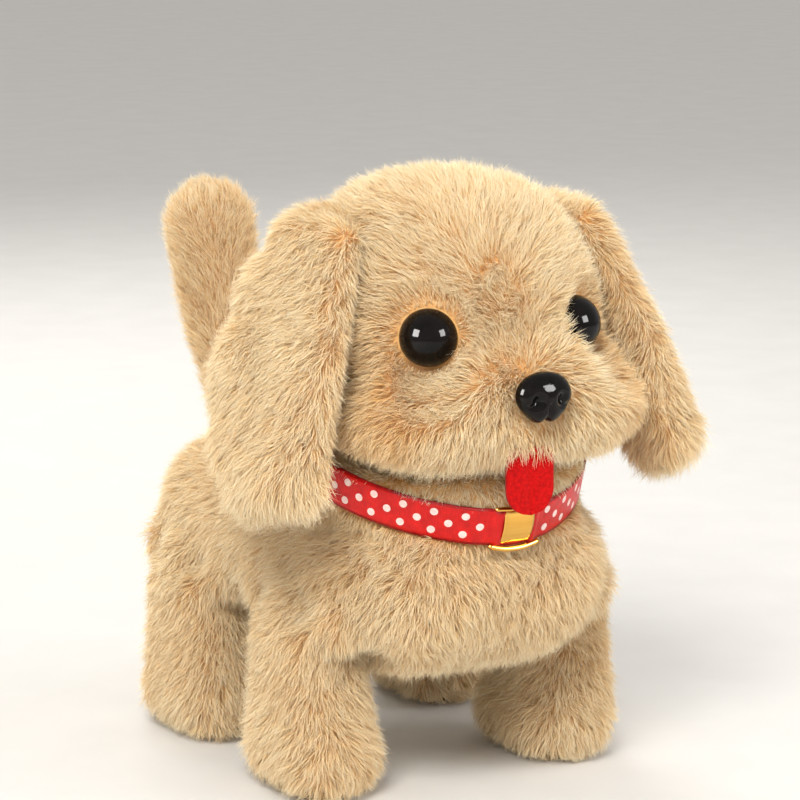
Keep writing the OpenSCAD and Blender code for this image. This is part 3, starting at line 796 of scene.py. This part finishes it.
def press_socket(skin, side):
    """Keeps the skin round an eye below the rim, so that the whole eye shows."""
    ahead = eye_direction(side)
    height = (skin.points - EYE_HUB) @ ahead
    beside = np.linalg.norm(skin.points - EYE_HUB - height[:, None] * ahead, axis=1)
    limit = EYE_SEAT + 0.9 + 9 * ease(8, 16, beside)
    over = np.where(beside < 18, np.maximum(height - limit, 0), 0)
    skin.points = skin.points - over[:, None] * ahead


def head_comb(points, normals):
    """Away from the nose and the eyes, hanging down on the cheeks and the lower lip."""
    away = unit(points - (NOSE + [0, 4, 4]))
    drop = np.zeros_like(points)
    drop[:, 2] = -0.45 - 0.9 * ease(112, 92, points[:, 2])
    for centre in eye_places().values():
        pull = 1.6 * ease(14, 9, np.linalg.norm(points - centre, axis=1))
        away = away + unit(points - centre) * pull[:, None]
    return away + drop


def head_short(points, normals):
    """Short pile round the eyes and the nose."""
    eyes = 0.66 * (1 - ease(7.5, 11.5, eye_gap(points)))
    nose = 0.55 * (1 - ease(8, 14, np.linalg.norm(points - NOSE, axis=1)))
    fringe = 0.05 * ease(98, 92, points[:, 2]) * ease(-60, -70, points[:, 1])
    return np.maximum(eyes, nose) - fringe


def head_painted_shade(points, normals):
    """Painted shade: a rust tint in the eye sockets and in the creases by the ears, where shade falls."""
    eyes = 0.2 * np.exp(-((eye_gap(points) / 10) ** 2))
    crease = 0.42 * np.exp(-(((np.abs(points[:, 0]) - 34) / 7) ** 2)) * ease(135, 110, points[:, 2])
    return eyes + crease


def head_skipped(points, normals):
    """Marks the roots under the eyes, under the nose and on the flat underside's back half."""
    eye = eye_gap(points) < EYE_R + 0.15
    nose = np.linalg.norm((points - NOSE) * [0.8, 1, 1], axis=1) < 5.6
    return eye | nose | ((normals[:, 2] < -0.85) & (points[:, 2] < 94) & (points[:, 1] > -58))


def add_head():
    skin = head_skin()
    rides = rides_on("head")
    backing("head", skin, rides, ["head_plush"])
    pile("head", skin, head_comb, rides, 50, length=6.4, shorter=head_short, painted_shading=head_painted_shade,
         tone=0.68, skip=head_skipped)


def ear_comb(side):
    """Down the ear, and outward over its top."""
    def comb(points, normals):
        down = np.zeros_like(points)
        down[:, 2] = -1
        down[:, 0] = side * (0.12 + 0.9 * ease(132, 143, points[:, 2]))
        return down
    return comb


def add_ears():
    for k, (name, side) in enumerate((("left", 1), ("right", -1))):
        fillers = [
            ((side * 30, -41, 137), (11.5, 18, 11)),
            ((side * 43, -37, 119), (8, 12, 18)),
            ((side * 51, -41, 104), (8, 14, 18)),
        ]
        skin = wrapped(["ear_" + name], fillers, voxel=1.3, rounds=12)
        skin.push(-1.4)
        rides = rides_on("head")
        backing("ear_" + name, skin, rides, ["ear_" + name])

        def trimmed(points, normals, side=side):
            under = 0.35 * ease(0.2, 0.8, -normals[:, 0] * side)
            return under - 0.4 * ease(98, 84, points[:, 2])

        # Painted shade: a rust tint on the ear's inner face below its top, where it faces the head
        def inside(points, normals, side=side):
            return 0.2 * ease(0.1, 0.7, -normals[:, 0] * side) * ease(138, 124, points[:, 2])

        pile("ear_" + name, skin, ear_comb(side), rides, 70 + k, length=6.6, lift=0.42, tone=0.7,
             shorter=trimmed, painted_shading=inside)


def tail_comb(points, normals):
    """Up along the tail."""
    up = np.zeros_like(points)
    up[:, 1], up[:, 2] = 0.33, 1.0
    return up


def add_tail():
    fillers = [((0, 60, 66), (7, 7, 8)), ((0, 58.5, 61), (7.5, 7.5, 8)), ((0, 76, 100), (9, 9, 9))]
    skin = wrapped(["tail_plush"], fillers)
    skin.push(-PILE_INSET)
    rides = bends()
    backing("tail", skin, rides, ["tail_plush"])
    # The tail's warmer tone is partly its own colour and partly painted shade
    pile("tail", skin, tail_comb, rides, 90, length=6.8, tone=0.55)


# ---- face ----


def turned_to(points, direction, centre):
    """Points made about +Z, turned to a direction and moved to a centre."""
    turn = Vector((0, 0, 1)).rotation_difference(Vector(direction)).to_matrix()
    return points @ np.array(turn).T + centre


def add_eyes():
    """Safety eyes: a glossy dome on a moulded rim."""
    dome = [(EYE_R * math.sin(a), EYE_R * math.cos(a)) for a in np.linspace(math.radians(94), 0.02, 40)]
    profile = [(0.4, -1.4), (5.6, -1.4), (6.7, -0.9), (7.0, -0.45)] + dome
    glass = gloss_black("eye_gloss", 240, 0.02)
    for side, name in ((1, "eye_left"), (-1, "eye_right")):
        points, faces = lathe(profile)
        made = mesh_object(name, turned_to(points, eye_direction(side), eye_places()[side]), faces, glass)
        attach(made, "head")
        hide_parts("eyes")


def nose_points(sphere):
    """A rounded triangle with two lower lobes, a middle groove and comma nostrils."""
    x, y, z = sphere.T
    wide = 5.6 + 2.0 * ease(-0.9, 0.2, z)
    px, pz = wide * np.sign(x) * np.abs(x) ** 0.92, 6.4 * np.sign(z) * np.abs(z) ** 0.9
    py = 4.2 * y
    front = ease(0.1, -0.5, y)
    pz = pz + 1.1 * np.exp(-((px / 1.3) ** 2)) * ease(-0.3, -0.9, z)
    for side in (1, -1):
        hole = np.exp(-(((px - side * 3.3) / 1.3) ** 2) - (((pz + 0.2) / 1.5) ** 2))
        tail = np.exp(-(((px - side * 5.0) / 1.5) ** 2) - (((pz + 1.6) / 0.8) ** 2))
        py = py + front * (1.7 * hole + 0.8 * tail)
    py = py + front * 0.8 * np.exp(-((px / 0.55) ** 2)) * ease(0.5, -2.5, pz)
    return np.stack([px, py, pz], axis=1)


def add_nose():
    """The moulded nose, worked out from a fine ball."""
    ball = bmesh.new()
    bmesh.ops.create_icosphere(ball, subdivisions=6, radius=1.0)
    sphere = np.array([v.co for v in ball.verts])
    faces = [[v.index for v in f.verts] for f in ball.faces]
    ball.free()
    gloss = gloss_black("nose_gloss", 500, 0.12)
    made = mesh_object("nose_moulded", nose_points(sphere) + NOSE, faces, gloss)
    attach(made, "head")
    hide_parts("nose")


def add_tongue():
    """A felt tongue: a rounded tab, dished along its middle."""
    low, high = (np.array(c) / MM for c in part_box("tongue"))
    half, depth = (high[0] - low[0]) / 2, high[1] - low[1]
    rows, columns = 36, 25
    layers = []
    for face_y in (low[1] + 0.1, low[1] + depth - 0.1):
        for t in np.linspace(0, 1, rows):
            z = high[2] + (low[2] - high[2]) * t
            inside = max(0.0, low[2] + half - z)
            width = math.sqrt(max(half * half - inside * inside, 0.0)) + 0.02
            for s in np.linspace(-1, 1, columns):
                dish = 0.45 * math.exp(-((s / 0.22) ** 2)) * (0.4 + 0.6 * t)
                layers.append((s * width, face_y + dish - 0.25 * t * t, z))
    grid = ring_faces(rows, columns, closed=False)
    count = rows * columns
    faces = [tuple(reversed(f)) for f in grid] + [tuple(i + count for i in f) for f in grid]
    faces += [(a, b, b + count, a + count) for a, b in rim_pairs(rows, columns)]
    made = mesh_object("tongue_felt", layers, faces, felt_material())
    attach(made, "head")
    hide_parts("tongue")


# ---- collar ----


def ribbon_point(angle, across, out):
    """A point on the ribbon, across from -1 to 1 over its width."""
    from_front = np.abs(angle + math.pi / 2) * NECK_B
    folds = 0.8 * np.exp(-(((from_front - 6.2) / 1.1) ** 2)) - 0.25 * np.exp(-(((from_front - 9) / 1.6) ** 2))
    ring = neck_ring(angle, out + 0.25 * np.sin(3 * angle + 0.7) + np.maximum(folds, -0.2))
    flat = np.column_stack([ring, np.broadcast_to(across * RIBBON_W / 2, len(ring))])
    return from_collar(flat)


def ribbon_layer(angles, out):
    """One face of the ribbon, out millimetres from the neck."""
    rows = [ribbon_point(angles, s, out) for s in np.linspace(-1, 1, RIBBON_ROWS)]
    return np.concatenate(rows)


def add_ribbon():
    """The ribbon as one closed band, with its seam hidden at the back."""
    around = 480
    angles = np.arange(around) * 2 * math.pi / around - math.pi * 1.5
    angles = np.where(angles > math.pi / 2, angles - 2 * math.pi, angles)
    inner, outer = ribbon_layer(angles, RIBBON_GAP), ribbon_layer(angles, RIBBON_GAP + RIBBON_T)
    count = len(inner)
    grid = ring_faces(RIBBON_ROWS, around)
    faces = [tuple(i + count for i in f) for f in grid] + [tuple(reversed(f)) for f in grid]
    top = (RIBBON_ROWS - 1) * around
    for i in range(around):
        j = (i + 1) % around
        faces.append((i, j, j + count, i + count))
        faces.append((top + j, top + i, top + i + count, top + j + count))
    u = np.tile(angles / (2 * math.pi), 2 * RIBBON_ROWS)
    v = np.tile(np.repeat(np.linspace(0, 1, RIBBON_ROWS), around), 2)
    points, uv = np.concatenate([inner, outer]), np.column_stack([u, v])
    made = mesh_object("ribbon_band", points, faces, ribbon_material(), uv)
    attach(made, "trunk")
    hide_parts("collar_ribbon")
    dots = add_dots()


def add_dots():
    """Printed dots in three staggered rows round the ribbon, evenly spaced along it."""
    angles = np.linspace(-1.5 * math.pi, 0.5 * math.pi, 1441)
    ring = neck_ring(angles, RIBBON_GAP)
    along = np.concatenate([[0], np.cumsum(np.linalg.norm(np.diff(ring, axis=0), axis=1))])
    count = int(along[-1] / DOT_STEP)
    turn = np.arange(DOT_SIDES) * 2 * math.pi / DOT_SIDES
    points, faces = [], []
    for row, across in enumerate((-0.5, 0.0, 0.5)):
        for k in range(count):
            middle = (k + 0.5 * (row % 2) + 0.25) * along[-1] / count
            angle = np.interp(middle + DOT_R * np.cos(turn), along, angles)
            if np.abs(angle + math.pi / 2).min() * NECK_B < BUCKLE_REACH:
                continue
            side = across + DOT_R * np.sin(turn) / (RIBBON_W / 2)
            faces.append(tuple(range(len(points), len(points) + DOT_SIDES)))
            for a, s in zip(angle, side):
                points.extend(ribbon_point(np.array([a]), s, RIBBON_GAP + RIBBON_T + 0.04))
    ink = mottled("dot_print", (236, 196, 190), (250, 226, 220), 900, 0.6)
    made = mesh_object("ribbon_dots", points, faces, ink)
    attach(made, "trunk")
    return made


def gold_bar(x0, x1, count, middle, half_out, half_across):
    """Points and faces of a bar along X: middle(x) gives its (y, z), and the two halves its section."""
    turn = np.arange(BAR_SIDES) * 2 * math.pi / BAR_SIDES
    points = []
    for x in np.linspace(x0, x1, count):
        y, z = middle(x)
        end = min(1.0, 0.25 + (1 - abs(2 * (x - x0) / (x1 - x0) - 1)) * 12)
        for a in turn:
            points.append((x, y + half_out * end * math.cos(a), z + half_across * end * math.sin(a)))
    faces = ring_faces(count, BAR_SIDES)
    faces.append(tuple(range(BAR_SIDES)))
    faces.append(tuple(reversed(range(BAR_SIDES * (count - 1), BAR_SIDES * count))))
    return points, faces


def gold_plate():
    """The buckle's middle plate: bowed out from top to bottom, with rounded edges."""
    front = -NECK_B - 1.9
    columns, rows = 13, 15
    points = []
    for deep in (0.0, 0.55):
        for t in np.linspace(-1, 1, rows):
            for s in np.linspace(-1, 1, columns):
                edge = 0.25 * max(abs(s), abs(t)) ** 10
                bow = 1.0 * (1 - t * t)
                points.append((4.25 * s, front + 0.9 - bow + (edge if deep == 0 else deep), 0.2 + 5.0 * t))
    grid = ring_faces(rows, columns, closed=False)
    count = rows * columns
    faces = grid + [tuple(reversed([i + count for i in f])) for f in grid]
    faces += [(b, a, a + count, b + count) for a, b in rim_pairs(rows, columns)]
    return points, faces


def add_buckle():
    """A gold slide: a thin bar above, a sagging bar below and a plate that joins them."""
    front = -NECK_B - 1.5
    top = gold_bar(-7.2, 7.2, 41, lambda x: (front + 0.012 * x * x, 5.6), 0.7, 0.55)
    low = gold_bar(-7.2, 7.2, 41, lambda x: (front + 0.012 * x * x, -5.9 + 0.022 * x * x), 0.75, 0.7)
    points, faces = [], []
    for part_points, part_faces in (top, low, gold_plate()):
        faces += [tuple(i + len(points) for i in f) for f in part_faces]
        points.extend(part_points)
    made = mesh_object("buckle_plate", from_collar(np.array(points)), faces, gold_material())
    mend = bmesh.new()
    mend.from_mesh(made.data)
    bmesh.ops.recalc_face_normals(mend, faces=mend.faces)
    mend.to_mesh(made.data)
    mend.free()
    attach(made, "trunk")
    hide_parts("collar_buckle")


# ---- stage ----


def add_floor():
    """A wide, pale, plain floor."""
    reach = 15000
    corners = [(-reach, -reach, 0), (reach, -reach, 0), (reach, reach, 0), (-reach, reach, 0)]
    pale = mottled("floor_pale", (224, 222, 219), (228, 226, 223), 40, 0.7)
    mesh_object("floor", corners, [(0, 1, 2, 3)], pale)


def add_light(name, at, aim, size, watts, colour, mirrored=False):
    """An area lamp; a mirrored one shows in glossy parts and lights nothing else."""
    lamp = bpy.data.lights.new(name, "AREA")
    lamp.shape = "RECTANGLE"
    lamp.size, lamp.size_y = size[0] * MM, size[1] * MM
    lamp.energy = watts
    lamp.color = colour
    made = bpy.data.objects.new(name, lamp)
    made.location = [c * MM for c in at]
    made.rotation_euler = (Vector(aim) - Vector(at)).to_track_quat("-Z", "Y").to_euler()
    made.visible_glossy = mirrored
    made.visible_diffuse = not mirrored
    bpy.context.scene.collection.objects.link(made)


def add_stage():
    """Floor, even sky light, three soft lamps and two that only show in glossy parts."""
    add_floor()
    world = bpy.data.worlds.new("studio")
    world.use_nodes = True
    world.node_tree.nodes["Background"].inputs["Color"].default_value = (1.0, 0.98, 0.95, 1)
    world.node_tree.nodes["Background"].inputs["Strength"].default_value = 0.58
    bpy.context.scene.world = world
    middle = (0, -20, 85)
    add_light("key", (-520, -620, 820), middle, (420, 420), 10.0, (1.0, 0.985, 0.935))
    add_light("fill", (760, -520, 420), middle, (500, 500), 2.8, (0.95, 0.97, 1.0))
    add_light("rim", (100, 700, 620), middle, (500, 300), 3.4, (1.0, 0.98, 0.95))
    add_light("catch_left", (-838, -164, 428), middle, (380, 380), 20, (1.0, 0.98, 0.95), mirrored=True)
    add_light("catch_right", (381, -800, 428), middle, (340, 340), 11, (1.0, 0.98, 0.95), mirrored=True)
    bpy.context.scene.view_settings.view_transform = "Standard"


def add_camera():
    lens = bpy.data.cameras.new("camera")
    lens.lens = CAMERA_LENS
    lens.sensor_width = 36
    lens.clip_start, lens.clip_end = 0.05, 60
    made = bpy.data.objects.new("camera", lens)
    made.location = [c * MM for c in CAMERA_AT]
    made.rotation_euler = (Vector(CAMERA_AIM) - Vector(CAMERA_AT)).to_track_quat("-Z", "Y").to_euler()
    bpy.context.scene.collection.objects.link(made)
    bpy.context.scene.camera = made


PILE = pile_material()
BACKING = backing_material()
add_camera()
add_stage()
dress_cad_nodes()
add_body()
add_head()
add_ears()
add_tail()
add_eyes()
add_nose()
add_tongue()
add_ribbon()
add_buckle()
